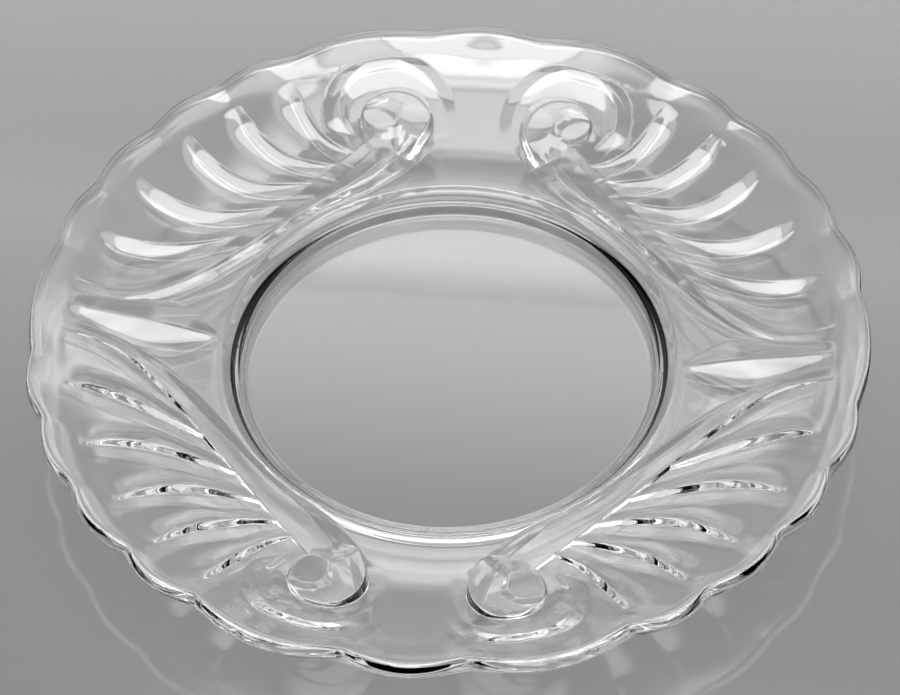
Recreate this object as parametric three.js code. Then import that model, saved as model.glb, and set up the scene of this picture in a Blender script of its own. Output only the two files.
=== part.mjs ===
// Pressed-glass underplate: one clear pressing with a flat sunken well, a scalloped edge and four
// mirrored scroll-and-fan motifs in the rim. Millimetres, +Z up, origin under the centre of the base.
import * as THREE from "three";

// Sizes of the plain pressing
const RIM_RADIUS = 99.2;
const RIM_HEIGHT = 22.6;
const EDGE_THICKNESS = 4;
const SHOULDER_RADIUS = 54.7;
const SHOULDER_HEIGHT = 9.5;
const WELL_WALL = 6.1;
const FLOOR_RADIUS = SHOULDER_RADIUS - WELL_WALL;
const FLOOR_HEIGHT = 4;
const RIM_THICKNESS = 4;
const DISH_POWER = 2;

// The foot: a flat base with a small step round it and a steep outer wall
const FOOT_INSET = 3.5;
const FOOT_RADIUS = SHOULDER_RADIUS - FOOT_INSET;
const FOOT_STEP = 0.3;
const FOOT_STEP_RADIUS = FOOT_RADIUS + FOOT_STEP;
const FOOT_STEP_HEIGHT = 0.7;
const FOOT_LEDGE = 0.8;
const FOOT_LEDGE_RADIUS = FOOT_STEP_RADIUS + FOOT_LEDGE;
const FOOT_LEDGE_RISE = 0.25;
const FOOT_LEDGE_HEIGHT = FOOT_STEP_HEIGHT + FOOT_LEDGE_RISE;
const FOOT_DRAFT = 1.3;
const FOOT_TOP_RADIUS = FOOT_LEDGE_RADIUS + FOOT_DRAFT;
const FOOT_HEIGHT = 4.8;
const TURN_IN = 4;

// The scalloped edge, as notches in one quarter and how far each lobe stands out between them
const NOTCH_ANGLES = [-10.4, 10.4, 22.6, 35.2, 48.3, 60.2, 81.7, 98.3];
const LOBE_RISES = [0.9, 1.4, 1.4, 1.5, 1.6, 2.4, 2.0];
const NOTCH_DEPTH = 0.7;
const BORDER_WIDTH = 7;
const BORDER_RADIUS = RIM_RADIUS - BORDER_WIDTH;

// The fan of ribs, from the stem's own end by the 3 o'clock axis to the one next to the scroll
const RIB_RIM_ANGLES = [5, 15.4, 27.4, 39, 48.9, 58.6];
const RIB_ROOT_ANGLES = [19.8, 30.8, 43.2, 52.9, 59.2, 63.8];
const RIB_BENDS = [3.6, 2.7, 3.6, 4.6, 4, 5];
const RIB_HEIGHT = 2.1;
const RIB_ROOT_HEIGHT = 0.6;
const RIB_WALL = 1.1;
const RIB_SPREAD = 7;
const RIB_FADE = 6;
const SEAM_RISE = 0.34;
const SEAM_TIP = 1;
const SEAM_MIDDLE = 7.5;
const SEAM_MIDDLE_GAP = 10.3;
const SEAM_MIDDLE_RADIUS = SHOULDER_RADIUS + SEAM_MIDDLE_GAP;
const SEAM_OUTER = 3;

// The stem that all the ribs spring from, a low roll beside the well with a step down to the fan
const STEM_GAP = 6.9;
const STEM_DISTANCE = SHOULDER_RADIUS + STEM_GAP;
const STEM_NORMAL = 40.5;
const STEM_HEIGHT = 2.5;
const STEM_LOW = 1.6;
const STEM_WIDTH = 11.5;
const STEM_NARROW = 6;
const STEM_FLANK = 4.6;
const STEM_WALL = 1;
const STEM_STEP = 1.05;
const NECK_ANGLE = 68.5;

// The scroll at the stem's upper end: its outer ring, its roll and the eye
const SCROLL_ANGLE = 73.3;
const RING_RADIUS = 13;
const RING_GAP = 2.5;
const RING_SHIFT = 0.8;
const RING_HEIGHT = 1.3;
const RING_OUTER_SLOPE = 3.7;
const RING_INNER_SLOPE = 5;
const ROLL_TURNS = [-64, -13, 48, 111, 185, 240, 296];
const ROLL_RADII = [14.3, 11.3, 9, 7, 7.3, 9.2, 14.3];
const ROLL_TOP = 16.6;
const ROLL_TOP_RADIUS = 84;
const ROLL_TILT = 0.13;
const ROLL_WALL = 1;
const EYE_RADIUS = 4.4;
const EYE_OFFSET = 3.5;
const EYE_TURN = -55;
const EYE_GROOVE = 0.9;
const EYE_GROOVE_WIDTH = 1.4;

// Steps of the mesh
const COLUMNS = 42;
const EDGE_STEPS = 4;
const LINE_STEP = 3;
const FILL_STEP = 5.5;
const NEAREST = 0.9;

const DEGREE = Math.PI / 180;
const clamp = (v, low, high) => Math.min(high, Math.max(low, v));
const mix = (a, b, t) => a + (b - a) * t;
const SCROLL_OUT = BORDER_RADIUS - RING_GAP - RING_RADIUS;
const SCROLL_X = SCROLL_OUT * Math.cos(SCROLL_ANGLE * DEGREE);
const SCROLL_Y = SCROLL_OUT * Math.sin(SCROLL_ANGLE * DEGREE);
const RING_Y = SCROLL_Y + RING_SHIFT;
const EYE_X = SCROLL_X + EYE_OFFSET * Math.cos(EYE_TURN * DEGREE);
const EYE_Y = SCROLL_Y + EYE_OFFSET * Math.sin(EYE_TURN * DEGREE);
const smooth = (t) => {
  const u = clamp(t, 0, 1);
  return u * u * (3 - 2 * u);
};

// Radius of the scalloped edge at an angle in the first quarter, in degrees
function edgeRadius(angle) {
  let lobe = 0;
  while (lobe < LOBE_RISES.length - 1 && angle > NOTCH_ANGLES[lobe + 1]) lobe += 1;
  const across = (angle - NOTCH_ANGLES[lobe]) / (NOTCH_ANGLES[lobe + 1] - NOTCH_ANGLES[lobe]);
  return RIM_RADIUS - NOTCH_DEPTH + LOBE_RISES[lobe] * Math.pow(Math.sin(Math.PI * across), 1.2);
}

// Height of the plain upper face, without the motif
function plainTop(radius) {
  if (radius < SHOULDER_RADIUS) {
    const climb = smooth((radius - FLOOR_RADIUS) / (SHOULDER_RADIUS - FLOOR_RADIUS));
    return mix(FLOOR_HEIGHT, SHOULDER_HEIGHT, climb);
  }
  const out = (radius - SHOULDER_RADIUS) / (RIM_RADIUS - SHOULDER_RADIUS);
  return SHOULDER_HEIGHT + (RIM_HEIGHT - SHOULDER_HEIGHT) * Math.pow(out, DISH_POWER);
}

// The stem's line: how far along it a point is, and how far outside it
const STEM_OUT = new THREE.Vector2(Math.cos(STEM_NORMAL * DEGREE), Math.sin(STEM_NORMAL * DEGREE));
const STEM_RUN = new THREE.Vector2(-STEM_OUT.y, STEM_OUT.x);
const stemPoint = (along, outside) =>
  new THREE.Vector2()
    .addScaledVector(STEM_OUT, STEM_DISTANCE + outside)
    .addScaledVector(STEM_RUN, along);
const rootRadius = (rib) => STEM_DISTANCE / Math.cos((RIB_ROOT_ANGLES[rib] - STEM_NORMAL) * DEGREE);
const STEM_FOOT = STEM_DISTANCE * Math.tan((RIB_ROOT_ANGLES[0] - STEM_NORMAL) * DEGREE);
const STEM_NECK = STEM_DISTANCE * Math.tan((NECK_ANGLE - STEM_NORMAL) * DEGREE);

// Angle of a rib's crest at a radius: the rib leaves the stem slantwise and swings out to the edge
function ribAngle(rib, radius) {
  const root = rootRadius(rib);
  const inward = clamp((BORDER_RADIUS + 2 - radius) / (BORDER_RADIUS + 2 - root), 0, 1.4);
  const swing = RIB_ROOT_ANGLES[rib] - RIB_RIM_ANGLES[rib];
  return RIB_RIM_ANGLES[rib] + swing * Math.pow(inward, RIB_BENDS[rib]);
}

// How square to the rib an arc of the plate runs there, for widths measured across the rib
function ribSquare(rib, radius) {
  const turn = (ribAngle(rib, radius + 0.1) - ribAngle(rib, radius - 0.1)) * DEGREE;
  return 1 / Math.hypot(1, (turn / 0.2) * radius);
}

const ribFade = (radius) => smooth((BORDER_RADIUS - radius) / RIB_FADE);

// How far a point lies from a rib's crest, the scroll side positive
const ribAside = (rib, radius, angle) =>
  (angle - ribAngle(rib, radius)) * DEGREE * radius * ribSquare(rib, radius);

// Fan: blades with a steep wall to the scroll side and a hollow fall to the other
function fanRelief(radius, angle) {
  let rise = 0;
  for (let rib = 1; rib < RIB_RIM_ANGLES.length; rib += 1) {
    const root = rootRadius(rib);
    if (radius < root) continue;
    const run = (radius - root) / (BORDER_RADIUS - root);
    const tall = mix(RIB_ROOT_HEIGHT, RIB_HEIGHT, smooth(run / 0.6)) * ribFade(radius);
    const aside = ribAside(rib, radius, angle);
    const wall = 1 - clamp(aside / RIB_WALL, 0, 1);
    const fall = Math.pow(1 - clamp(-aside / RIB_SPREAD, 0, 1), 2);
    rise = Math.max(rise, tall * (aside > 0 ? wall : fall));
  }
  return rise;
}

// Stem: its height and width along the line, a flank to the well and a step to the fan's level floor
const stemPart = (along) => clamp((along - STEM_FOOT) / (STEM_NECK - STEM_FOOT), 0, 1);
const stemRise = (along) => mix(STEM_LOW, STEM_HEIGHT, stemPart(along));
const stemWidth = (along) => mix(STEM_NARROW, STEM_WIDTH, stemPart(along));

function stemRelief(x, y, radius, angle, plain) {
  const along = x * STEM_RUN.x + y * STEM_RUN.y;
  const straight = along > STEM_FOOT;
  const end = 1 - smooth((along - STEM_NECK) / 6);
  const outside = straight
    ? x * STEM_OUT.x + y * STEM_OUT.y - STEM_DISTANCE
    : ribAside(0, radius, angle);
  const tip = straight ? 1 : smooth((BORDER_RADIUS - radius) / 20);
  const rise = stemRise(along) * end * tip;
  if (outside <= 0) {
    return rise * (1 - smooth((-outside - stemWidth(along) + STEM_FLANK) / STEM_FLANK));
  }
  const step = Math.min(STEM_STEP, 0.7 * rise);
  const line = straight ? Math.hypot(STEM_DISTANCE, Math.min(along, STEM_NECK)) : radius;
  const floor = Math.max(0, plainTop(line) + rise - step - plain);
  const bank = floor + step * (1 - clamp(outside / STEM_WALL, 0, 1));
  return Math.max(bank, floor + fanRelief(radius, angle));
}

// Scroll: a thin ring round a rolled-up end, whose outline winds in round the eye
const turnOf = (x, y, middle) => {
  const turn = (180 - Math.atan2(y - middle, x - SCROLL_X) / DEGREE + 360) % 360;
  return turn > 296 ? turn - 360 : turn;
};
const rollRadius = (turn) => {
  let k = 0;
  while (k < ROLL_TURNS.length - 2 && turn > ROLL_TURNS[k + 1]) k += 1;
  const across = clamp((turn - ROLL_TURNS[k]) / (ROLL_TURNS[k + 1] - ROLL_TURNS[k]), 0, 1);
  return mix(ROLL_RADII[k], ROLL_RADII[k + 1], across);
};

function ringRelief(x, y) {
  const away = Math.hypot(x - SCROLL_X, y - RING_Y) - RING_RADIUS;
  const turn = turnOf(x, y, RING_Y);
  const share = smooth((turn + 20) / 12) * smooth((210 - turn) / 20);
  const inner = Math.pow(1 - clamp(-away / RING_INNER_SLOPE, 0, 1), 1.5);
  const outer = 1 - clamp(away / RING_OUTER_SLOPE, 0, 1);
  return RING_HEIGHT * share * (away > 0 ? outer : inner);
}

function rollRelief(x, y, radius, plain, rise) {
  const away = Math.hypot(x - SCROLL_X, y - SCROLL_Y);
  const inside = rollRadius(turnOf(x, y, SCROLL_Y)) - away;
  const up = x * STEM_RUN.x + y * STEM_RUN.y - STEM_NECK;
  const whole = clamp(inside / ROLL_WALL, 0, 1) * smooth((up + 3) / 5);
  const eye = Math.abs(Math.hypot(x - EYE_X, y - EYE_Y) - EYE_RADIUS);
  const groove = EYE_GROOVE * Math.max(0, 1 - eye / EYE_GROOVE_WIDTH);
  const crown = ROLL_TOP + ROLL_TILT * (radius - ROLL_TOP_RADIUS) - groove;
  return mix(rise, Math.max(crown - plain, rise), whole);
}

// The ridge between two motifs, a long leaf that tapers to both its ends
function seamReach(radius) {
  const start = SHOULDER_RADIUS + 0.8;
  if (radius > SEAM_MIDDLE_RADIUS) {
    const out = (radius - SEAM_MIDDLE_RADIUS) / (BORDER_RADIUS - SEAM_MIDDLE_RADIUS);
    return mix(SEAM_MIDDLE, SEAM_OUTER, out);
  }
  return mix(SEAM_TIP, SEAM_MIDDLE, clamp((radius - start) / (SEAM_MIDDLE_RADIUS - start), 0, 1));
}
const seamRelief = (y, radius) =>
  SEAM_RISE * seamReach(radius) * Math.pow(1 - clamp(y / seamReach(radius), 0, 1), 1.3)
  * smooth((BORDER_RADIUS - radius) / 5);

// Height of the pressed upper face over a point of the first quarter
function pressedTop(x, y) {
  const radius = Math.hypot(x, y);
  const angle = Math.atan2(y, x) / DEGREE;
  const plain = plainTop(radius);
  if (radius < SHOULDER_RADIUS || radius > BORDER_RADIUS - 0.01) return plain;
  const stem = stemRelief(x, y, radius, angle, plain);
  const motif = Math.max(stem, seamRelief(y, radius), ringRelief(x, y));
  const ends = smooth((radius - SHOULDER_RADIUS) / 2.5) * smooth((BORDER_RADIUS - radius) / 2);
  return plain + ends * rollRelief(x, y, radius, plain, motif);
}

// Points of one quarter of the upper face, laid along every crest and every wall's foot
function quarterPoints() {
  const points = [];
  const near = (x, y, gap) => points.some((p) => Math.hypot(p.x - x, p.y - y) < gap);
  const add = (x, y, gap = NEAREST) => {
    const inside = x > gap && y > gap && Math.hypot(x, y) < BORDER_RADIUS - gap;
    if (inside && !near(x, y, gap)) points.push(new THREE.Vector2(x, y));
  };
  const polar = (radius, angle, gap) =>
    add(radius * Math.cos(angle * DEGREE), radius * Math.sin(angle * DEGREE), gap);
  for (let c = 0; c <= COLUMNS; c += 1) {
    const a = (c / COLUMNS) * 90 * DEGREE;
    const x = c === COLUMNS ? 0 : BORDER_RADIUS * Math.cos(a);
    points.push(new THREE.Vector2(x, c === 0 ? 0 : BORDER_RADIUS * Math.sin(a)));
  }
  points.push(new THREE.Vector2(0, 0));
  const stations = [FLOOR_RADIUS / 2, FLOOR_RADIUS];
  for (let s = 1; s <= 3; s += 1) stations.push(mix(FLOOR_RADIUS, SHOULDER_RADIUS, s / 3));
  for (let s = 1; s < 10; s += 1) stations.push(mix(SHOULDER_RADIUS, BORDER_RADIUS, s / 10));
  for (const r of stations) points.push(new THREE.Vector2(r, 0), new THREE.Vector2(0, r));
  const stem = stemPoint(STEM_FOOT, 0).distanceTo(stemPoint(STEM_NECK, 0));
  const offsets = [() => 0, () => STEM_WALL, (at) => STEM_FLANK - stemWidth(at), (at) => -stemWidth(at)];
  for (const offset of offsets) {
    const steps = Math.round(stem / LINE_STEP);
    for (let s = 0; s <= steps; s += 1) {
      const along = mix(STEM_FOOT, STEM_NECK, s / steps);
      const p = stemPoint(along, offset(along));
      if (p.length() > SHOULDER_RADIUS + 1) add(p.x, p.y);
    }
  }
  RIB_RIM_ANGLES.forEach((_, rib) => {
    const root = rootRadius(rib) + (rib ? RIB_WALL : 0);
    const steps = Math.round((BORDER_RADIUS - root) / LINE_STEP);
    for (const aside of [0, RIB_WALL, -2.4, -5.2]) {
      for (let s = 0; s < steps; s += 1) {
        const r = mix(root, BORDER_RADIUS, s / steps);
        polar(r, ribAngle(rib, r) + aside / (r * DEGREE * ribSquare(rib, r)));
      }
    }
  });
  const round = (middle, radiusAt, from, to, steps) => {
    for (let s = 0; s <= steps; s += 1) {
      const turn = mix(from, to, s / steps);
      const a = (180 - turn) * DEGREE;
      add(SCROLL_X + radiusAt(turn) * Math.cos(a), middle + radiusAt(turn) * Math.sin(a));
    }
  };
  round(SCROLL_Y, rollRadius, -50, 240, 26);
  round(SCROLL_Y, (turn) => rollRadius(turn) - ROLL_WALL, -50, 240, 26);
  round(RING_Y, () => RING_RADIUS, -20, 205, 24);
  round(RING_Y, () => RING_RADIUS + RING_OUTER_SLOPE, -10, 190, 22);
  round(RING_Y, () => RING_RADIUS - RING_INNER_SLOPE / 2, -10, 190, 20);
  for (let r = SHOULDER_RADIUS + 3; r < BORDER_RADIUS - 2; r += LINE_STEP) {
    add(r, seamReach(r));
    add(r, 0.45 * seamReach(r));
  }
  for (let s = 0; s < 12; s += 1) {
    for (const r of [EYE_RADIUS - EYE_GROOVE_WIDTH, EYE_RADIUS, EYE_RADIUS + EYE_GROOVE_WIDTH]) {
      add(EYE_X + r * Math.cos(s * 30 * DEGREE), EYE_Y + r * Math.sin(s * 30 * DEGREE));
    }
  }
  for (const r of stations.slice(1, 6)) {
    const steps = r < SHOULDER_RADIUS + 1 ? 24 : 20;
    for (let s = 1; s < steps; s += 1) polar(r, (90 * s) / steps, 0.9);
  }
  for (let x = FILL_STEP; x < BORDER_RADIUS; x += FILL_STEP) {
    for (let y = FILL_STEP; y < BORDER_RADIUS; y += FILL_STEP) {
      if (Math.hypot(x, y) > SHOULDER_RADIUS + 2) add(x, y, 0.62 * FILL_STEP);
    }
  }
  return points;
}

// Delaunay triangles of plan points: each new point removes the triangles whose circle holds it
function triangulate(points) {
  const far = 40 * RIM_RADIUS;
  const all = [...points, new THREE.Vector2(-far, -far), new THREE.Vector2(far, -far)];
  all.push(new THREE.Vector2(0, far));
  const circle = (a, b, c) => {
    const p = all[a];
    const bx = all[b].x - p.x;
    const by = all[b].y - p.y;
    const cx = all[c].x - p.x;
    const cy = all[c].y - p.y;
    const d = 2 * (bx * cy - by * cx);
    const ux = (cy * (bx * bx + by * by) - by * (cx * cx + cy * cy)) / d;
    const uy = (bx * (cx * cx + cy * cy) - cx * (bx * bx + by * by)) / d;
    return { corners: [a, b, c], x: p.x + ux, y: p.y + uy, square: ux * ux + uy * uy };
  };
  const first = points.length;
  let triangles = [circle(first, first + 1, first + 2)];
  points.forEach((p, index) => {
    const open = new Map();
    const kept = [];
    for (const t of triangles) {
      const dx = p.x - t.x;
      const dy = p.y - t.y;
      if (dx * dx + dy * dy > t.square * (1 - 1e-9)) {
        kept.push(t);
        continue;
      }
      for (let e = 0; e < 3; e += 1) {
        const from = t.corners[e];
        const to = t.corners[(e + 1) % 3];
        const twin = `${to} ${from}`;
        if (open.has(twin)) open.delete(twin);
        else open.set(`${from} ${to}`, [from, to]);
      }
    }
    for (const [from, to] of open.values()) kept.push(circle(from, to, index));
    triangles = kept;
  });
  return triangles.map((t) => t.corners).filter((c) => c.every((i) => i < first));
}

// The whole pressing: four mirrored quarters above, then the border, the round edge and the underside
function plateGeometry() {
  const corners = [];
  const put = (a, b, c) => corners.push(...a, ...b, ...c);
  const quarter = quarterPoints();
  const lifted = quarter.map((p) => [p.x, p.y, pressedTop(p.x, p.y)]);
  for (const [a, b, c] of triangulate(quarter)) {
    for (const [sx, sy] of [[1, 1], [-1, 1], [-1, -1], [1, -1]]) {
      const [p, q, s] = [a, b, c].map((i) => [sx * lifted[i][0], sy * lifted[i][1], lifted[i][2]]);
      const up = (q[0] - p[0]) * (s[1] - p[1]) - (q[1] - p[1]) * (s[0] - p[0]) > 0;
      if (up) put(p, q, s);
      else put(p, s, q);
    }
  }

  const half = EDGE_THICKNESS / 2;
  const lip = plainTop(RIM_RADIUS - half);
  const rows = [
    () => [BORDER_RADIUS, plainTop(BORDER_RADIUS)],
    (edge) => [mix(BORDER_RADIUS, edge - half, 0.6), plainTop(mix(BORDER_RADIUS, RIM_RADIUS - half, 0.6))],
  ];
  for (let s = 0; s <= EDGE_STEPS; s += 1) {
    const a = Math.PI * (0.5 - s / EDGE_STEPS);
    rows.push((edge) => [edge - half + half * Math.cos(a), lip - half + half * Math.sin(a)]);
  }
  const under = (radius) => plainTop(radius) - RIM_THICKNESS;
  const outer = SHOULDER_RADIUS + TURN_IN;
  for (const part of [0.25, 0.55, 0.8]) {
    const radius = mix(RIM_RADIUS - half, outer, part);
    rows.push(() => [radius, under(radius)]);
  }
  rows.push(() => [outer, under(outer)]);
  rows.push(() => [FOOT_TOP_RADIUS, FOOT_HEIGHT]);
  rows.push(() => [FOOT_LEDGE_RADIUS, FOOT_LEDGE_HEIGHT]);
  rows.push(() => [FOOT_STEP_RADIUS, FOOT_STEP_HEIGHT]);
  rows.push(() => [FOOT_RADIUS, 0]);

  const columns = 4 * COLUMNS;
  const ring = rows.map((row) => {
    const made = [];
    for (let c = 0; c < columns; c += 1) {
      const angle = (c * 360) / columns;
      const folded = Math.abs(((angle + 90) % 180) - 90);
      const [radius, z] = row(edgeRadius(folded));
      const a = angle * DEGREE;
      const snap = (v) => (Math.abs(v) < 1e-9 ? 0 : v);
      made.push([snap(radius * Math.cos(a)), snap(radius * Math.sin(a)), z]);
    }
    return made;
  });
  for (let c = 0; c < columns; c += 1) {
    const next = (c + 1) % columns;
    for (let row = 0; row + 1 < ring.length; row += 1) {
      put(ring[row][c], ring[row + 1][c], ring[row + 1][next]);
      put(ring[row][c], ring[row + 1][next], ring[row][next]);
    }
    put(ring[ring.length - 1][c], [0, 0, 0], ring[ring.length - 1][next]);
  }

  const geometry = new THREE.BufferGeometry();
  geometry.setAttribute("position", new THREE.Float32BufferAttribute(corners, 3));
  geometry.computeVertexNormals();
  return geometry;
}

const glass = new THREE.MeshStandardMaterial({ color: 0xf2f5f5, roughness: 0.03, metalness: 0 });
glass.transparent = true;
glass.opacity = 0.35;

const underplate = new THREE.Group();
underplate.name = "underplate";
const plate = new THREE.Mesh(plateGeometry(), glass);
plate.name = "glass_plate";
underplate.add(plate);

export default underplate;
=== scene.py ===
import math
import bpy
import bmesh
import numpy as np
from mathutils import Matrix, Vector
from mathutils.geometry import delaunay_2d_cdt


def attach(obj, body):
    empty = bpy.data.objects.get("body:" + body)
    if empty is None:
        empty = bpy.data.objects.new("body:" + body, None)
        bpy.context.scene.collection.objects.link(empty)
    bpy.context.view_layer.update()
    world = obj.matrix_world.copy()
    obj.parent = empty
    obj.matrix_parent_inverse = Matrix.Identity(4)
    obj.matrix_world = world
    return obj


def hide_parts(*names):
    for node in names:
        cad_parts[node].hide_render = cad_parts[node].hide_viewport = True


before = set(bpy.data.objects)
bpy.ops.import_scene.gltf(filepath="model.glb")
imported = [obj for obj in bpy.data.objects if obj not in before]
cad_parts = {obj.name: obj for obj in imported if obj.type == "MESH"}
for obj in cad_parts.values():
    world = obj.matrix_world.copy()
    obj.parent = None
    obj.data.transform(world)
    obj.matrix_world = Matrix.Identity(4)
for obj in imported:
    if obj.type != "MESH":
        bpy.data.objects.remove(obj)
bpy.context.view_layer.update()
MM = 0.001

# Camera: a long lens held a little to the right of the plate's front mirror line, looking down at
# it steeply, with a slight roll. Its focal length is in pixels of a picture 900 pixels wide.
view_turn = math.radians(6.66)
view_height = math.radians(49.73)
view_roll = math.radians(-1.387)
view_distance = 760.9 * MM
view_aim = Vector((-0.757 * MM, 9.146 * MM, 0.0))
picture_width = 900.0
picture_focal = 3134.35
sensor_width = 36.0
back = Vector((math.sin(view_turn) * math.cos(view_height),
               -math.cos(view_turn) * math.cos(view_height),
               math.sin(view_height)))
level = Vector((math.cos(view_turn), math.sin(view_turn), 0.0))
upright = back.cross(level)
across = level * math.cos(view_roll) + upright * math.sin(view_roll)
upward = upright * math.cos(view_roll) - level * math.sin(view_roll)
lens = bpy.data.cameras.new("photo_lens")
lens.sensor_fit = "HORIZONTAL"
lens.sensor_width = sensor_width
lens.lens = picture_focal / picture_width * sensor_width
lens.clip_start = 0.05
camera = bpy.data.objects.new("photo_camera", lens)
place = Matrix((across, upward, back)).transposed().to_4x4()
place.translation = view_aim + back * view_distance
camera.matrix_world = place
bpy.context.collection.objects.link(camera)
bpy.context.scene.camera = camera
bpy.context.scene.view_settings.view_transform = "Standard"
bpy.context.scene.cycles.max_bounces = 32
bpy.context.scene.cycles.glossy_bounces = 8
bpy.context.scene.cycles.transmission_bounces = 24


# Table: a smooth grey tabletop with a soft polish, which mirrors the rim faintly. It is only the
# stage, a hair below the plate's base.
def wire(tree, source, target):
    tree.links.new(source, target)


def node(tree, kind, **settings):
    made = tree.nodes.new(kind)
    for name, value in settings.items():
        setattr(made, name, value)
    return made


table_half_width = 3.0
table_drop = 0.0002
table_finish = bpy.data.materials.new("grey_tabletop")
table_finish.use_nodes = True
table_tree = table_finish.node_tree
face = table_tree.nodes["Principled BSDF"]
where = node(table_tree, "ShaderNodeTexCoord")
cloud = node(table_tree, "ShaderNodeTexNoise")
cloud.inputs["Scale"].default_value = 3.0
cloud.inputs["Detail"].default_value = 3.0
tone = node(table_tree, "ShaderNodeValToRGB")
tone.color_ramp.elements[0].color = (0.40, 0.40, 0.40, 1.0)
tone.color_ramp.elements[1].color = (0.44, 0.44, 0.44, 1.0)
wire(table_tree, where.outputs["Object"], cloud.inputs["Vector"])
wire(table_tree, cloud.outputs["Fac"], tone.inputs["Fac"])
wire(table_tree, tone.outputs["Color"], face.inputs["Base Color"])
face.inputs["Roughness"].default_value = 0.10
face.inputs["IOR"].default_value = 1.45
bm = bmesh.new()
bmesh.ops.create_grid(bm, x_segments=8, y_segments=8, size=table_half_width)
bmesh.ops.translate(bm, verts=bm.verts, vec=(0.0, 0.0, -table_drop))
table_mesh = bpy.data.meshes.new("tabletop")
bm.to_mesh(table_mesh)
bm.free()
table_mesh.materials.append(table_finish)
table = bpy.data.objects.new("tabletop", table_mesh)
bpy.context.collection.objects.link(table)


# Studio light: a large soft lamp overhead for the table, and bright reflection panels that only
# gloss and glass see, over a room that is grey at the back and dark on the camera's side.
def lamp(name, place, aim, width, depth, power):
    data = bpy.data.lights.new(name, "AREA")
    data.shape = "RECTANGLE"
    data.size = width
    data.size_y = depth
    data.energy = power
    made = bpy.data.objects.new(name, data)
    made.location = place
    made.rotation_euler = (Vector(aim) - Vector(place)).to_track_quat("-Z", "Y").to_euler()
    bpy.context.collection.objects.link(made)
    return made


def panel(name, corners, strength, soft_side, soft_end):
    glow = bpy.data.materials.new(name)
    glow.use_nodes = True
    tree = glow.node_tree
    tree.nodes.clear()
    sheet = node(tree, "ShaderNodeUVMap", uv_map="sheet")
    split = node(tree, "ShaderNodeSeparateXYZ")
    wire(tree, sheet.outputs["UV"], split.inputs["Vector"])
    path = node(tree, "ShaderNodeLightPath")
    level = node(tree, "ShaderNodeMath", operation="LESS_THAN")
    level.inputs[1].default_value = 0.5
    wire(tree, path.outputs["Diffuse Depth"], level.inputs[0])
    for axis, soft in (("X", soft_side), ("Y", soft_end)):
        inward = node(tree, "ShaderNodeMath", operation="PINGPONG")
        inward.inputs[1].default_value = 0.5
        wire(tree, split.outputs[axis], inward.inputs[0])
        fade = node(tree, "ShaderNodeMapRange", interpolation_type="SMOOTHSTEP")
        fade.inputs["From Max"].default_value = soft
        wire(tree, inward.outputs[0], fade.inputs["Value"])
        both = node(tree, "ShaderNodeMath", operation="MULTIPLY")
        wire(tree, level.outputs[0], both.inputs[0])
        wire(tree, fade.outputs["Result"], both.inputs[1])
        level = both
    power = node(tree, "ShaderNodeMath", operation="MULTIPLY")
    power.inputs[1].default_value = strength
    shine = node(tree, "ShaderNodeEmission")
    clear_sheet = node(tree, "ShaderNodeBsdfTransparent")
    both = node(tree, "ShaderNodeAddShader")
    out = node(tree, "ShaderNodeOutputMaterial")
    wire(tree, level.outputs[0], power.inputs[0])
    wire(tree, power.outputs[0], shine.inputs["Strength"])
    wire(tree, shine.outputs["Emission"], both.inputs[0])
    wire(tree, clear_sheet.outputs["BSDF"], both.inputs[1])
    wire(tree, both.outputs["Shader"], out.inputs["Surface"])
    mesh = bpy.data.meshes.new(name)
    mesh.from_pydata([Vector(c) for c in corners], [], [(0, 1, 2, 3)])
    layer = mesh.uv_layers.new(name="sheet")
    for loop, uv in zip(layer.data, ((0.0, 0.0), (1.0, 0.0), (1.0, 1.0), (0.0, 1.0))):
        loop.uv = uv
    mesh.materials.append(glow)
    made = bpy.data.objects.new(name, mesh)
    made.visible_camera = False
    made.visible_diffuse = False
    made.visible_shadow = False
    bpy.context.collection.objects.link(made)
    return made


key = lamp("overhead_lamp", (0.0, 0.1, 1.2), (0.0, 0.05, 0.0), 1.0, 0.8, 7.4)
key.visible_glossy = False
key.visible_transmission = False


ceiling_height = 1.15
wall_distance = 1.2


def ceiling(name, side, near, far, strength, soft_side, soft_end):
    outline = ((-side, near), (side, near), (side, far), (-side, far))
    corners = [(x, y, ceiling_height) for x, y in outline]
    return panel(name, corners, strength, soft_side, soft_end)


def wall(name, left, right, low, high, strength, soft_side, soft_end):
    outline = ((left, low), (right, low), (right, high), (left, high))
    corners = [(x, wall_distance, z) for x, z in outline]
    return panel(name, corners, strength, soft_side, soft_end)


ceiling("overhead_panel", 0.32, 0.06, 0.68, 3.8, 0.20, 0.12)
ceiling("top_panel", 0.98, -0.55, 0.10, 8.6, 0.10, 0.07)
wall("back_panel", -1.0, 1.0, 0.80, 1.36, 2.0, 0.12, 0.10)
wall("back_glow", -0.9, 0.9, 1.02, 1.68, 1.6, 0.15, 0.50)
wall("low_glow", -1.0, 1.0, 0.65, 1.22, 2.0, 0.20, 0.40)
room = bpy.data.worlds.new("studio_room")
bpy.context.scene.world = room
room.use_nodes = True
room_tree = room.node_tree
room_tree.nodes.clear()
sky = node(room_tree, "ShaderNodeTexCoord")
parts = node(room_tree, "ShaderNodeSeparateXYZ")
wire(room_tree, sky.outputs["Generated"], parts.inputs["Vector"])
behind = node(room_tree, "ShaderNodeMapRange", interpolation_type="SMOOTHSTEP")
behind.inputs["From Min"].default_value = 0.1
behind.inputs["From Max"].default_value = 0.7
behind.inputs["To Min"].default_value = 0.01
behind.inputs["To Max"].default_value = 1.0
wire(room_tree, parts.outputs["Y"], behind.inputs["Value"])
path = node(room_tree, "ShaderNodeLightPath")
first = node(room_tree, "ShaderNodeMath", operation="LESS_THAN")
first.inputs[1].default_value = 0.5
wire(room_tree, path.outputs["Diffuse Depth"], first.inputs[0])
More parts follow.
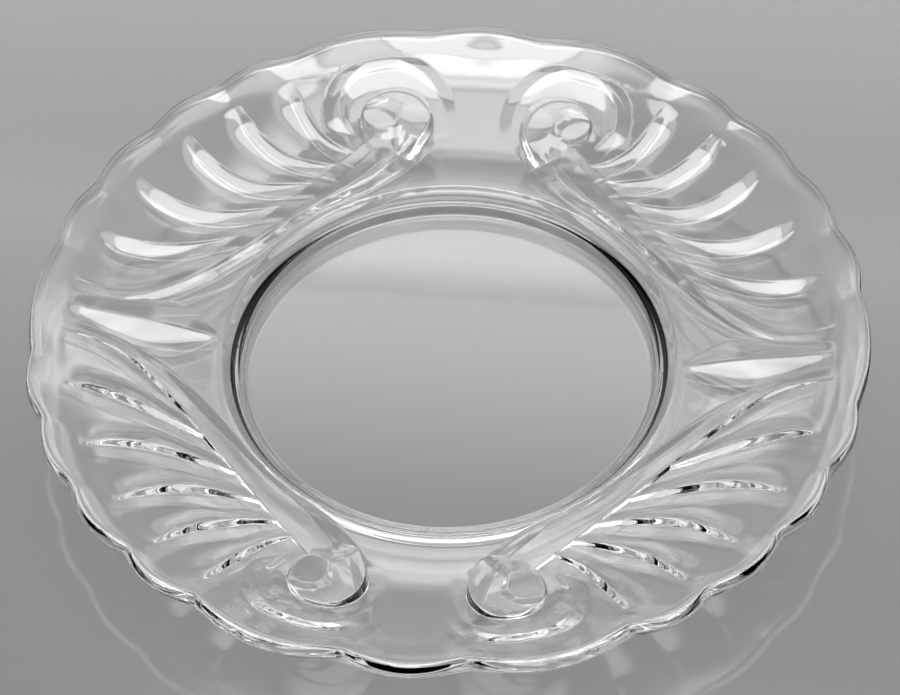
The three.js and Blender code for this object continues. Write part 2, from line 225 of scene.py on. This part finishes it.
level_of = node(room_tree, "ShaderNodeMix", data_type="FLOAT")
level_of.inputs["A"].default_value = 0.2
wire(room_tree, first.outputs[0], level_of.inputs["Factor"])
wire(room_tree, behind.outputs["Result"], level_of.inputs["B"])
air = node(room_tree, "ShaderNodeBackground")
end = node(room_tree, "ShaderNodeOutputWorld")
wire(room_tree, level_of.outputs["Result"], air.inputs["Strength"])
wire(room_tree, air.outputs["Background"], end.inputs["Surface"])

# Plate blank: one thick pressing of clear glass, round and dished, with a flat sunken well and a
# scalloped, fire-polished edge. Sizes of the plate are in millimetres.
rim_radius = 99.2
rim_height = 22.6
edge_thickness = 4.0
shoulder_radius = 54.7
shoulder_height = 9.5
floor_radius = 48.6
floor_height = 4.0
tread_gap = 2.4
tread_share = 0.4
foot_radius = 51.2
foot_step_radius = 51.5
foot_step_height = 0.7
foot_ledge_radius = 52.3
foot_ledge_height = 0.95
foot_top_radius = 53.6
foot_height = 4.8
wall_thickness = 4.0
dish_power = 2.0
border_width = 7.0
border_radius = rim_radius - border_width
notch_angles = [-10.4, 10.4, 22.6, 35.2, 48.3, 60.2, 81.7, 98.3]
lobe_rises = [0.9, 1.4, 1.4, 1.5, 1.6, 2.4, 2.0]
notch_depth = 0.7
lobe_fullness = 1.2


def ease(t):
    t = np.clip(t, 0.0, 1.0)
    return t * t * (3.0 - 2.0 * t)


def edge_radius(angle):
    lobe = np.clip(np.searchsorted(notch_angles, angle) - 1, 0, len(lobe_rises) - 1)
    start = np.take(notch_angles, lobe)
    span = np.take(notch_angles, lobe + 1) - start
    swell = np.abs(np.sin(np.pi * (angle - start) / span)) ** lobe_fullness
    return rim_radius - notch_depth + np.take(lobe_rises, lobe) * swell


def plain_top(radius):
    tread = floor_radius + tread_gap
    climb = tread_share * ease((radius - floor_radius) / tread_gap)
    climb = climb + (1.0 - tread_share) * ease((radius - tread) / (shoulder_radius - tread))
    well = floor_height + (shoulder_height - floor_height) * climb
    out = np.clip((radius - shoulder_radius) / (rim_radius - shoulder_radius), 0.0, None)
    rim = shoulder_height + (rim_height - shoulder_height) * out ** dish_power
    return np.where(radius < shoulder_radius, well, rim)


# Mould lines: the ridges that the mould leaves on the rim, drawn for one quarter of the plate: the
# stem beside the well, the fan of ribs that springs from it, and the scroll at its upper end.
rib_rim_angles = [5.0, 15.4, 27.4, 39.0, 48.9, 58.6]
rib_root_angles = [19.8, 30.8, 43.2, 52.9, 59.2, 63.8]
rib_bends = [3.6, 2.7, 3.6, 4.6, 4.0, 5.0]
rib_overrun = 2.0
stem_distance = 61.6
stem_normal = 40.5
neck_angle = 68.5
stem_end_angle = 74.0
scroll_centre = np.array((22.0, 73.5))
ring_centre = np.array((22.0, 74.3))
ring_radius = 13.0
ring_start = np.array((0.9, -1.0))
ring_pull = np.array((4.5, 1.6))
ring_lean = 3.2 * np.array((0.139, 0.990))
ring_meet_angle = -8.0
ring_end_angle = 200.0
line_step = 0.15


def polar(radius, angle):
    a = np.radians(angle)
    return np.stack((radius * np.cos(a), radius * np.sin(a)), axis=-1)


def rib_line(rib):
    root = stem_distance / math.cos(math.radians(rib_root_angles[rib] - stem_normal))
    radius = np.linspace(root, border_radius, 240)
    tip = border_radius + rib_overrun
    inward = (tip - radius) / (tip - root)
    swing = rib_root_angles[rib] - rib_rim_angles[rib]
    return polar(radius, rib_rim_angles[rib] + swing * inward ** rib_bends[rib])


def stepped(line, step):
    run = np.concatenate(([0.0], np.cumsum(np.linalg.norm(np.diff(line, axis=0), axis=1))))
    count = max(2, int(round(run[-1] / step)) + 1)
    at = np.linspace(0.0, run[-1], count)
    return np.stack((np.interp(at, run, line[:, 0]), np.interp(at, run, line[:, 1])), axis=1)


def straight_stem():
    along = np.linspace(math.tan(math.radians(stem_end_angle - stem_normal)),
                        math.tan(math.radians(rib_root_angles[0] - stem_normal)), 120)
    return stem_distance * (stem_out + along[:, None] * stem_run)


stem_out = polar(np.array(1.0), np.array(stem_normal))
stem_run = np.array((-stem_out[1], stem_out[0]))
neck_radius = stem_distance / math.cos(math.radians(neck_angle - stem_normal))
neck = polar(np.array(neck_radius), np.array(neck_angle))


def ring_line():
    start = neck + ring_start
    meet = ring_centre + polar(np.array(ring_radius), np.array(ring_meet_angle))
    hold = [start, start + ring_pull, meet - ring_lean, meet]
    t = np.linspace(0.0, 1.0, 40)[:, None]
    short = ((1 - t) ** 3 * hold[0] + 3 * t * (1 - t) ** 2 * hold[1]
             + 3 * t * t * (1 - t) * hold[2] + t ** 3 * hold[3])
    turn = np.linspace(ring_meet_angle + 1.0, ring_end_angle, 200)
    return np.concatenate((short, ring_centre + polar(np.full(turn.shape, ring_radius), turn)))


def flowing(at, stops, values):
    stops = np.asarray(stops)
    values = np.asarray(values)
    lean = np.gradient(values, stops)
    k = np.clip(np.searchsorted(stops, at, side="right") - 1, 0, len(stops) - 2)
    span = stops[k + 1] - stops[k]
    t = np.clip((at - stops[k]) / span, 0.0, 1.0)
    gone = t * t * (3.0 - 2.0 * t)
    bend = lean[k] * t * (1.0 - t) ** 2 - lean[k + 1] * t * t * (1.0 - t)
    return values[k] + (values[k + 1] - values[k]) * gone + span * bend


def curve(points, step):
    points = np.array(points)
    run = np.concatenate(([0.0], np.cumsum(np.linalg.norm(np.diff(points, axis=0), axis=1))))
    at = np.linspace(0.0, run[-1], 400)
    path = np.stack((flowing(at, run, points[:, 0]), flowing(at, run, points[:, 1])), axis=1)
    return stepped(path, step)


roll_turns = [-64.0, -38.0, -13.0, 11.0, 48.0, 75.0, 111.0, 154.0, 185.0, 225.0, 240.0, 268.0, 296.0]
roll_radii = [14.3, 12.1, 11.3, 10.5, 9.0, 7.8, 7.0, 6.7, 7.3, 8.4, 9.2, 11.8, 14.3]


def roll_line():
    turn = np.linspace(roll_turns[0], roll_turns[-3], 240)
    return scroll_centre + polar(flowing(turn, roll_turns, roll_radii), 180.0 - turn)


stem_line = stepped(np.concatenate((straight_stem(), rib_line(0)[1:])), line_step)
rib_lines = [stepped(rib_line(k), line_step) for k in range(1, 6)]
scroll_ring = stepped(ring_line(), line_step)
roll_edge = stepped(roll_line(), line_step)
stem_places = [0.0, 0.08, 0.17, 0.31, 0.47, 0.59, 0.69, 0.74, 0.82, 0.91, 1.0]
stem_rises = [2.1, 2.6, 2.4, 2.0, 1.8, 1.7, 1.6, 1.5, 1.2, 0.7, 0.0]
stem_widths = [11.5, 12.0, 11.5, 9.6, 7.6, 6.6, 6.0, 5.6, 5.0, 4.4, 4.0]
stem_flanks = [5.0, 5.0, 5.0, 4.6, 4.2, 4.0, 4.0, 4.0, 4.0, 4.0, 4.0]
eye_centre = np.array((24.0, 70.6))
eye_radius = 3.7
eye_edge = eye_centre + polar(np.full(90, eye_radius), np.linspace(0.0, 360.0, 90))
hook_line = curve(((23.6, 74.2), (21.2, 73.9), (18.9, 72.6), (17.3, 69.8), (17.3, 66.0), (18.7, 62.4),
                   (21.2, 58.9), (24.2, 55.2), (27.2, 51.6)), line_step)


# Along a mould line each point of the plate gets its nearest place on the line, from 0 to 1, and
# how far to the left of it the point lies.
def beside(points, line):
    gap = (points[:, :1] - line[None, :, 0]) ** 2 + (points[:, 1:] - line[None, :, 1]) ** 2
    nearest = np.argmin(gap, axis=1)
    run = np.gradient(line, axis=0)
    run /= np.linalg.norm(run, axis=1)[:, None]
    off = points - line[nearest]
    along = (off * run[nearest]).sum(axis=1)
    left = run[nearest, 0] * off[:, 1] - run[nearest, 1] * off[:, 0]
    step = np.linalg.norm(line[1] - line[0])
    place = np.clip((nearest + along / step) / (len(line) - 1.0), 0.0, 1.0)
    ends = (nearest == 0) | (nearest == len(line) - 1)
    return place, left, np.where(ends, np.abs(along), 0.0)


crest_round = 0.35


def slope_share(distance, width, hollow):
    soft = np.sqrt(distance ** 2 + crest_round ** 2) - crest_round
    return np.clip(1.0 - soft / width, 0.0, 1.0) ** hollow


# Plan of the quarter: points in rows along every mould line, close together at the crests, and an
# even fill between them, joined into triangles.
cell = 0.5
taken = {}
plan = []


def add(points, gap):
    reach = int(math.ceil(gap / cell))
    for x, y in points:
        if x < 0.4 * gap or y < 0.4 * gap or x * x + y * y > (border_radius - 0.5 * gap) ** 2:
            continue
        i = int(x / cell)
        j = int(y / cell)
        clear = True
        for a in range(i - reach, i + reach + 1):
            for b in range(j - reach, j + reach + 1):
                for px, py in taken.get((a, b), ()):
                    if (px - x) ** 2 + (py - y) ** 2 < gap * gap:
                        clear = False
        if clear:
            taken.setdefault((i, j), []).append((x, y))
            plan.append((x, y))


def keep(x, y):
    taken.setdefault((int(x / cell), int(y / cell)), []).append((x, y))
    plan.append((x, y))


def rows(line, offsets, step, gap):
    path = stepped(line, step)
    run = np.gradient(path, axis=0)
    run /= np.linalg.norm(run, axis=1)[:, None]
    side = np.stack((-run[:, 1], run[:, 0]), axis=1)
    for offset in offsets:
        add(path + side * offset, gap)


quarter_columns = 168
column_angles = np.linspace(0.0, 90.0, quarter_columns + 1)
for angle in column_angles:
    spot = polar(np.array(border_radius), np.array(angle))
    keep(0.0 if angle == 90.0 else spot[0], 0.0 if angle == 0.0 else spot[1])
keep(0.0, 0.0)
floor_gap = 8.0
floor_rows = np.arange(floor_gap, floor_radius - 2.0, floor_gap)
wall_start = floor_radius - 1.0
axis_stations = list(floor_rows)
axis_stations += list(np.arange(wall_start, border_radius - 0.5, 0.8))
for r in axis_stations:
    keep(r, 0.0)
    keep(0.0, r)
crest_step = 0.5
crest_gap = 0.16
rib_gap = 0.15
soft_step = 0.6
soft_gap = 0.2
flank_step = 0.7
flank_parts = (0.0, 0.17, 0.34, 0.5, 0.67, 0.84, 1.0, 1.2)
stem_rows = [0.0, -0.2, 0.2, -0.45, 0.45, 0.7, -0.7, 0.9, 1.1, -1.0, 1.4, -1.4, 1.8, -2.0, 2.4, 3.1]
rib_rows = [0.0, 0.2, -0.2, 0.4, -0.4, -0.58, 0.6, -0.76, 0.8, 1.0, 1.2, 1.4, -1.0, 1.7, -1.4, 2.1, -2.0]
roll_rows = [0.0, -0.2, 0.2, -0.4, -0.6, -0.8, 0.5, -1.0, 0.9, -1.4, -2.0, -2.8, -3.6]
ring_rows = [0.0, 0.2, -0.2, 0.45, -0.45, 0.8, -0.8, 1.3, -1.3, -1.9, 1.9, -2.5, -2.9, -3.1, -3.3, -3.6]
hook_rows = [0.0, 0.3, -0.3, 0.7, -0.7, 1.2, -1.2]
eye_rows = [0.0, 0.3, -0.3, 0.6, -0.6, 1.0, -1.0]
rows(stem_line, stem_rows, crest_step, crest_gap)
run = np.gradient(stem_line, axis=0)
run /= np.linalg.norm(run, axis=1)[:, None]
along = np.linspace(0.0, 1.0, len(stem_line))
wellside = np.stack((run[:, 1], -run[:, 0]), axis=1)
for part in flank_parts:
    inset = flowing(along, stem_places, stem_widths) - part * flowing(along, stem_places, stem_flanks)
    add(stepped(stem_line + wellside * inset[:, None], flank_step), soft_gap)
for line in rib_lines:
    rows(line, rib_rows, crest_step, rib_gap)
rows(roll_edge, roll_rows, crest_step, crest_gap)
rows(scroll_ring, ring_rows, soft_step, crest_gap)
rows(hook_line, hook_rows, crest_step, soft_gap)
rows(eye_edge, eye_rows, soft_step, soft_gap)
wall_columns = np.linspace(0.0, 90.0, 130)
wall_row_step = 0.55
wall_gap = 0.3
for r in np.arange(wall_start, shoulder_radius + 2.5, wall_row_step):
    add(polar(np.full(wall_columns.shape, r), wall_columns), wall_gap)
fill = 0.92
row_gap = fill * 0.866
for j in range(int(border_radius / row_gap) + 1):
    xs = np.arange(0.0, border_radius, fill) + (0.5 * fill if j % 2 else 0.0)
    row = np.stack((xs, np.full(xs.shape, j * row_gap)), axis=1)
    far = np.hypot(row[:, 0], row[:, 1])
    add(row[far > shoulder_radius + 1.5], 0.62 * fill)
for r in floor_rows:
    count = max(3, int(r * 1.57 / 7.0))
    add(polar(np.full(count, r), np.linspace(0.0, 90.0, count + 2)[1:-1]), 2.0)

joined = delaunay_2d_cdt([Vector(p) for p in plan], [], [], 0, 1e-7)
quarter_faces = [tuple(f) for f in joined[2]]
quarter_plan = np.array([(v.x, v.y) for v in joined[0]])

# Relief: how high the pressed pattern stands over the plain rim. Each rib is a hollow-sided blade,
# steep on the side that faces the scroll. The stem is a flat band that curls over into a roll with
# a flat round eye, inside a low ring.
stem_wall = 0.5
stem_end = 4.0
step_end = 3.0
step_limit = 0.7
step_places = [0.0, 0.1, 0.3, 0.5, 1.0]
stem_steps = [0.35, 0.45, 0.75, 1.05, 1.05]
bank_slope = 0.03
bank_blend = 0.3
rib_fade = 8.0
rib_end_gap = 1.0
rib_end = 4.0
rib_hollow = 2.0
rib_places = [0.0, 0.25, 0.6, 1.0]
rib_rises = [0.6, 1.4, 2.0, 1.5]
rib_widths = [2.8, 4.8, 6.8, 7.5]
rib_walls = [0.35, 0.6, 0.9, 0.4]
bead_places = [0.0, 0.35, 0.6, 0.75, 1.0]
rib_beads = [0.15, 0.3, 0.2, 0.0, 0.0]
bead_wall = 0.35
seam_radii = [shoulder_radius + 0.8, 65.0, border_radius]
seam_widths = [1.0, 7.5, 3.0]
seam_slope = 0.34
seam_hollow = 1.3
seam_fade = 5.0
ring_places = [0.0, 0.12, 0.25, 0.4, 0.62, 0.85, 1.0]
ring_rises = [1.5, 1.5, 1.5, 1.5, 1.35, 0.6, 0.1]
ring_pads = [0.8, 0.7, 0.5, 0.3, 0.3, 0.3, 0.1]
ring_slope_places = [0.0, 0.18, 0.35, 1.0]
ring_inner_slopes = [1.3, 1.8, 5.0, 5.0]
ring_outer_slopes = [5.0, 4.0, 3.3, 3.1]
ring_hollow = 1.5
ring_end_gap = 0.3
ring_end = 2.5
roll_top = 16.3
roll_top_radius = 84.0
roll_tilt = 0.03
roll_fall = 0.3
roll_level = 8.0
roll_wall = 0.7
roll_blend = 5.0
roll_lag = 3.0
roll_lag_width = 4.0
eye_top = 15.2
eye_slope = 2.2
eye_wall = 0.6
eye_blend = 3.0
groove_depth = 0.15
groove_width = 0.7
groove_hollow = 1.2
shoulder_fade = 2.5
border_fade = 2.0


def higher(first, second, blend):
    return 0.5 * (first + second + np.sqrt((first - second) ** 2 + blend * blend))


def relief(points):
    radius = np.hypot(points[:, 0], points[:, 1])
    plain = plain_top(radius)
    place, left, over = beside(points, stem_line)
    along = np.linspace(0.0, 1.0, len(stem_line))
    line_radius = np.interp(place, along, np.linalg.norm(stem_line, axis=1))
    height = flowing(place, stem_places, stem_rises)
    width = flowing(place, stem_places, stem_widths)
    flank = flowing(place, stem_places, stem_flanks)
    edge_level = plain_top(line_radius) + height
    stem = height * (1.0 - ease((-left - width + flank) / flank))
    step = flowing(place, step_places, stem_steps)
    step = np.minimum(step, step_limit * height) * (1.0 - ease(over / step_end))
    low = higher(edge_level - step + bank_slope * left - plain, 0.0, bank_blend)
    bank = low + step * slope_share(np.maximum(left, 0.0), stem_wall, 1.0)
    outside = left > 0.0
    stem = stem * (1.0 - ease(over / stem_end))

    fade = ease((border_radius - radius) / rib_fade)
    ribs = np.zeros(len(points))
    for line in rib_lines:
        place, left, over = beside(points, line)
        width = flowing(place, rib_places, rib_widths)
        tall = flowing(place, rib_places, rib_rises)
        bead = flowing(place, bead_places, rib_beads)
        hollow = (tall - bead) * slope_share(-left, width, rib_hollow)
        hollow = hollow + bead * slope_share(-left, bead_wall, 1.0)
        wall_width = flowing(place, rib_places, rib_walls)
        blade = np.where(left > 0.0, tall * slope_share(left, wall_width, 1.0), hollow)
        ribs = np.maximum(ribs, fade * blade * (1.0 - ease((over - rib_end_gap) / rib_end)))
    rise = np.where(outside, np.maximum(bank, low + ribs), stem)
    reach = flowing(radius, seam_radii, seam_widths)
    seam = seam_slope * reach * slope_share(points[:, 1], reach, seam_hollow)
    rise = np.maximum(rise, seam * ease((border_radius - radius) / seam_fade))

    place, left, over = beside(points, scroll_ring)
    ring = flowing(place, ring_places, ring_rises)
    pad = flowing(place, ring_places, ring_pads)
    inner = flowing(place, ring_slope_places, ring_inner_slopes)
    outer = flowing(place, ring_slope_places, ring_outer_slopes)
    inward = pad + (ring - pad) * slope_share(left, inner, ring_hollow)
    share = np.where(left > 0.0, inward, ring * slope_share(-left, outer, 1.0))
    rise = np.maximum(rise, share * (1.0 - ease((over - ring_end_gap) / ring_end)))

    away = points - scroll_centre
    apart = np.linalg.norm(away, axis=1)
    turn = (180.0 - np.degrees(np.arctan2(away[:, 1], away[:, 0])) + 360.0) % 360.0
    turn = np.where(turn > roll_turns[-1], turn - 360.0, turn)
    inside = flowing(turn, roll_turns, roll_radii) - apart
    up_stem = (points - neck) @ stem_run
    wellward = -(points - neck) @ stem_out
    lag = roll_lag * ease(wellward / roll_lag_width)
    whole = ease(inside / roll_wall) * ease((up_stem + roll_lag - lag) / (roll_blend + lag))
    crown = roll_top + roll_tilt * (radius - roll_top_radius)
    crown = crown - roll_fall * higher(roll_level - up_stem, 0.0, 1.0)
    off = points - eye_centre
    beyond = np.maximum(np.linalg.norm(off, axis=1) - eye_radius, 0.0)
    outward = off @ (scroll_centre / np.linalg.norm(scroll_centre))
    wall = eye_wall + (eye_slope - eye_wall) * ease(outward / eye_blend + 0.5)
    scroll = crown + (eye_top - crown) * slope_share(beyond, wall, 1.0)
    rise = rise + (np.maximum(scroll - plain, rise) - rise) * whole

    place, left, over = beside(points, hook_line)
    groove = groove_depth * slope_share(np.abs(left), groove_width, groove_hollow)
    groove = groove * ease(place * 3.0 - 1.0) * ease((1.0 - place) * 5.0)
    rise = rise - groove * (1.0 - ease((over - 0.2) / 1.0))
    rise = rise * ease((radius - shoulder_radius) / shoulder_fade)
    return rise * ease((border_radius - radius) / border_fade)


radius = np.hypot(quarter_plan[:, 0], quarter_plan[:, 1])
rise = relief(quarter_plan)
probe = 0.1


def pressed_top(points):
    return plain_top(np.linalg.norm(points, axis=1)) + relief(points)


slopes = []
for shift in (np.array((probe, 0.0)), np.array((0.0, probe))):
    gain = pressed_top(quarter_plan + shift) - pressed_top(quarter_plan - shift)
    slopes.append(gain / (2.0 * probe))
pressed_normals = np.stack((-slopes[0], -slopes[1], np.ones(len(rise))), axis=1)
pressed_normals /= np.linalg.norm(pressed_normals, axis=1)[:, None]

# Quarter blank: the plan lifted to the plain dish, then its border, round edge, underside, outer
# wall and flat foot as rings of the same columns.
blank_verts = [(x, y, z) for (x, y), z in zip(quarter_plan, plain_top(radius))]
blank_faces = []
for a, b, c in quarter_faces:
    ab = quarter_plan[b] - quarter_plan[a]
    ac = quarter_plan[c] - quarter_plan[a]
    blank_faces.append((a, b, c) if ab[0] * ac[1] - ab[1] * ac[0] > 0.0 else (a, c, b))
half = edge_thickness / 2.0
lip = float(plain_top(np.array(rim_radius - half)))
edge = edge_radius(column_angles)
ring_sets = [(np.full(edge.shape, border_radius), float(plain_top(np.array(border_radius))))]
for part in (0.25, 0.5, 0.75):
    r = border_radius + part * (edge - half - border_radius)
    z = float(plain_top(np.array(border_radius + part * (rim_radius - half - border_radius))))
    ring_sets.append((r, z))
edge_steps = 10
for step in range(edge_steps + 1):
    a = math.pi * (0.5 - step / edge_steps)
    ring_sets.append((edge - half + half * math.cos(a), lip - half + half * math.sin(a)))
turn_in_gap = 4.0
turn_in = shoulder_radius + turn_in_gap
for part in (0.12, 0.25, 0.4, 0.55, 0.7, 0.85, 1.0):
    r = (rim_radius - half) + part * (turn_in - rim_radius + half)
    ring_sets.append((np.full(edge.shape, r), float(plain_top(np.array(r))) - wall_thickness))
foot_sweep = 2.2
low = float(plain_top(np.array(turn_in))) - wall_thickness
for part in (0.2, 0.4, 0.6, 0.8, 0.92, 1.0):
    r = turn_in + part * (foot_top_radius - turn_in)
    ring_sets.append((np.full(edge.shape, r), low + (foot_height - low) * part ** foot_sweep))
foot_turns = [(foot_top_radius, foot_height), (foot_ledge_radius, foot_ledge_height),
              (foot_step_radius, foot_step_height), (foot_radius, 0.0)]
for (r0, z0), (r1, z1) in zip(foot_turns[:-1], foot_turns[1:]):
    for part in (0.06, 0.5, 0.94):
        ring_sets.append((np.full(edge.shape, r0 + part * (r1 - r0)), z0 + part * (z1 - z0)))
ring_sets.append((np.full(edge.shape, foot_radius - 0.1), 0.0))
for r in (foot_radius - 0.4, foot_radius - 0.9, foot_radius - 1.8, 40.0, 20.0):
    ring_sets.append((np.full(edge.shape, r), 0.0))
ring_start = len(blank_verts)
for r, z in ring_sets:
    spots = polar(r, column_angles)
    spots[0, 1] = 0.0
    spots[-1, 0] = 0.0
    blank_verts += [(x, y, z) for x, y in spots]
per = quarter_columns + 1
for ring in range(len(ring_sets) - 1):
    for c in range(quarter_columns):
        a = ring_start + ring * per + c
        blank_faces.append((a, a + per, a + per + 1, a + 1))
centre = len(blank_verts)
blank_verts.append((0.0, 0.0, 0.0))
last = ring_start + (len(ring_sets) - 1) * per
for c in range(quarter_columns):
    blank_faces.append((last + c, centre, last + c + 1))

blank_mesh = bpy.data.meshes.new("glass_plate_quarter")
blank_mesh.from_pydata(blank_verts, [], blank_faces)
spare = len(blank_verts) - len(quarter_plan)
data = blank_mesh.attributes.new("relief", "FLOAT", "POINT")
data.data.foreach_set("value", np.concatenate((rise, np.zeros(spare))).astype(np.float32))
facing = np.zeros((len(blank_verts), 3), np.float32)
facing[:len(quarter_plan)] = pressed_normals
facing[:len(quarter_plan)][radius > border_radius - 0.3] = 0.0
data = blank_mesh.attributes.new("pressed_facing", "FLOAT_VECTOR", "POINT")
data.data.foreach_set("vector", facing.ravel())

# Glass: clear, with a few small dark seeds in it, fine combed scratches that dull the polish a
# little, and a faint ripple where the mould chilled it.
glass = bpy.data.materials.new("clear_pressed_glass")
glass.use_nodes = True
glass_tree = glass.node_tree
clear = glass_tree.nodes["Principled BSDF"]
clear.inputs["Transmission Weight"].default_value = 1.0
clear.inputs["IOR"].default_value = 1.5
spot = node(glass_tree, "ShaderNodeTexCoord")
seeds = node(glass_tree, "ShaderNodeTexVoronoi")
seeds.inputs["Scale"].default_value = 75.0
wire(glass_tree, spot.outputs["Object"], seeds.inputs["Vector"])
pick = node(glass_tree, "ShaderNodeSeparateColor")
wire(glass_tree, seeds.outputs["Color"], pick.inputs["Color"])
chosen = node(glass_tree, "ShaderNodeMath", operation="LESS_THAN")
chosen.inputs[1].default_value = 0.35
wire(glass_tree, pick.outputs["Red"], chosen.inputs[0])
dot = node(glass_tree, "ShaderNodeMapRange")
dot.inputs["From Min"].default_value = 0.018
dot.inputs["From Max"].default_value = 0.034
dot.inputs["To Min"].default_value = 0.75
dot.inputs["To Max"].default_value = 0.0
wire(glass_tree, seeds.outputs["Distance"], dot.inputs["Value"])
speck = node(glass_tree, "ShaderNodeMath", operation="MULTIPLY")
wire(glass_tree, chosen.outputs[0], speck.inputs[0])
wire(glass_tree, dot.outputs["Result"], speck.inputs[1])
tint = node(glass_tree, "ShaderNodeMix", data_type="RGBA")
tint.inputs["A"].default_value = (0.985, 0.99, 0.988, 1.0)
tint.inputs["B"].default_value = (0.25, 0.25, 0.25, 1.0)
wire(glass_tree, speck.outputs[0], tint.inputs["Factor"])
wire(glass_tree, tint.outputs["Result"], clear.inputs["Base Color"])
combed = node(glass_tree, "ShaderNodeMapping")
combed.inputs["Rotation"].default_value = (0.0, 0.0, 0.6)
combed.inputs["Scale"].default_value = (900.0, 22.0, 22.0)
wire(glass_tree, spot.outputs["Object"], combed.inputs["Vector"])
hair = node(glass_tree, "ShaderNodeTexNoise")
hair.inputs["Scale"].default_value = 1.0
hair.inputs["Detail"].default_value = 2.0
wire(glass_tree, combed.outputs["Vector"], hair.inputs["Vector"])
scratch = node(glass_tree, "ShaderNodeMapRange")
scratch.inputs["From Min"].default_value = 0.68
scratch.inputs["From Max"].default_value = 0.78
scratch.inputs["To Min"].default_value = 0.0
scratch.inputs["To Max"].default_value = 0.06
wire(glass_tree, hair.outputs["Fac"], scratch.inputs["Value"])
wire(glass_tree, scratch.outputs["Result"], clear.inputs["Roughness"])
chill = node(glass_tree, "ShaderNodeTexNoise")
chill.inputs["Scale"].default_value = 110.0
chill.inputs["Detail"].default_value = 0.0
wire(glass_tree, spot.outputs["Object"], chill.inputs["Vector"])
ripple = node(glass_tree, "ShaderNodeBump")
ripple.inputs["Strength"].default_value = 0.15
ripple.inputs["Distance"].default_value = 0.00002
wire(glass_tree, chill.outputs["Fac"], ripple.inputs["Height"])
wire(glass_tree, ripple.outputs["Normal"], clear.inputs["Normal"])

# Pressing: the mould's plunger raises the ridges on the blank by their heights, and the finished
# quarter is mirrored across both axes and closed into one plate.
press = bpy.data.node_groups.new("pressed_plate", "GeometryNodeTree")
press.interface.new_socket("Quarter", in_out="INPUT", socket_type="NodeSocketGeometry")
press_sizes = {"Relief Height": 1.0, "Scale": MM}
for name, value in press_sizes.items():
    press.interface.new_socket(name, in_out="INPUT", socket_type="NodeSocketFloat")
press.interface.new_socket("Glass", in_out="INPUT", socket_type="NodeSocketMaterial")
press.interface.new_socket("Plate", in_out="OUTPUT", socket_type="NodeSocketGeometry")
given = node(press, "NodeGroupInput")
done = node(press, "NodeGroupOutput")
height = node(press, "GeometryNodeInputNamedAttribute", data_type="FLOAT")
height.inputs["Name"].default_value = "relief"
raised = node(press, "ShaderNodeMath", operation="MULTIPLY")
wire(press, height.outputs["Attribute"], raised.inputs[0])
wire(press, given.outputs["Relief Height"], raised.inputs[1])
lift = node(press, "ShaderNodeCombineXYZ")
wire(press, raised.outputs[0], lift.inputs["Z"])
move = node(press, "GeometryNodeSetPosition")
wire(press, given.outputs["Quarter"], move.inputs["Geometry"])
wire(press, lift.outputs[0], move.inputs["Offset"])
shape = move.outputs["Geometry"]
for flip in ((-1.0, 1.0, 1.0), (1.0, -1.0, 1.0)):
    mirror = node(press, "GeometryNodeTransform")
    mirror.inputs["Scale"].default_value = flip
    wire(press, shape, mirror.inputs["Geometry"])
    turned = node(press, "GeometryNodeFlipFaces")
    wire(press, mirror.outputs["Geometry"], turned.inputs["Mesh"])
    both = node(press, "GeometryNodeJoinGeometry")
    wire(press, turned.outputs["Mesh"], both.inputs["Geometry"])
    wire(press, shape, both.inputs["Geometry"])
    shape = both.outputs["Geometry"]
weld = node(press, "GeometryNodeMergeByDistance")
weld.inputs["Distance"].default_value = 0.01
wire(press, shape, weld.inputs["Geometry"])
size = node(press, "GeometryNodeTransform")
wire(press, weld.outputs["Geometry"], size.inputs["Geometry"])
thrice = node(press, "ShaderNodeCombineXYZ")
for axis in "XYZ":
    wire(press, given.outputs["Scale"], thrice.inputs[axis])
wire(press, thrice.outputs[0], size.inputs["Scale"])
polish = node(press, "GeometryNodeSetShadeSmooth")
wire(press, size.outputs["Geometry"], polish.inputs["Geometry"])
real = node(press, "GeometryNodeRealizeInstances")
wire(press, polish.outputs["Geometry"], real.inputs["Geometry"])
coat = node(press, "GeometryNodeSetMaterial")
wire(press, real.outputs["Geometry"], coat.inputs["Geometry"])
wire(press, given.outputs["Glass"], coat.inputs["Material"])
wire(press, coat.outputs["Geometry"], done.inputs["Plate"])

draft = bpy.data.objects.new("glass_plate_draft", blank_mesh)
bpy.context.collection.objects.link(draft)
pressing = draft.modifiers.new("pressing", "NODES")
pressing.node_group = press
for item in press.interface.items_tree:
    if item.in_out == "INPUT" and item.name in press_sizes:
        pressing[item.identifier] = press_sizes[item.name]
    if item.in_out == "INPUT" and item.name == "Glass":
        pressing[item.identifier] = glass
seen = bpy.context.evaluated_depsgraph_get()
plate_mesh = bpy.data.meshes.new_from_object(draft.evaluated_get(seen))
plate_mesh.name = "pressed_plate"


def vectors(source, name):
    values = np.empty(len(plate_mesh.vertices) * 3, np.float32)
    source.foreach_get(name, values)
    return values.reshape(-1, 3)


spots = vectors(plate_mesh.vertices, "co")
own = vectors(plate_mesh.vertices, "normal")
kept = vectors(plate_mesh.attributes["pressed_facing"].data, "vector")
kept[:, 0] *= np.sign(spots[:, 0])
kept[:, 1] *= np.sign(spots[:, 1])
kept = np.where(kept[:, 2:] > 0.05, kept, own)
plate_mesh.normals_split_custom_set_from_vertices(kept)
for name in ("relief", "pressed_facing"):
    plate_mesh.attributes.remove(plate_mesh.attributes[name])
bpy.data.objects.remove(draft)
plate = bpy.data.objects.new("pressed_plate", plate_mesh)
bpy.context.collection.objects.link(plate)
plate.visible_shadow = False
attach(plate, "root")
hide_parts("glass_plate")
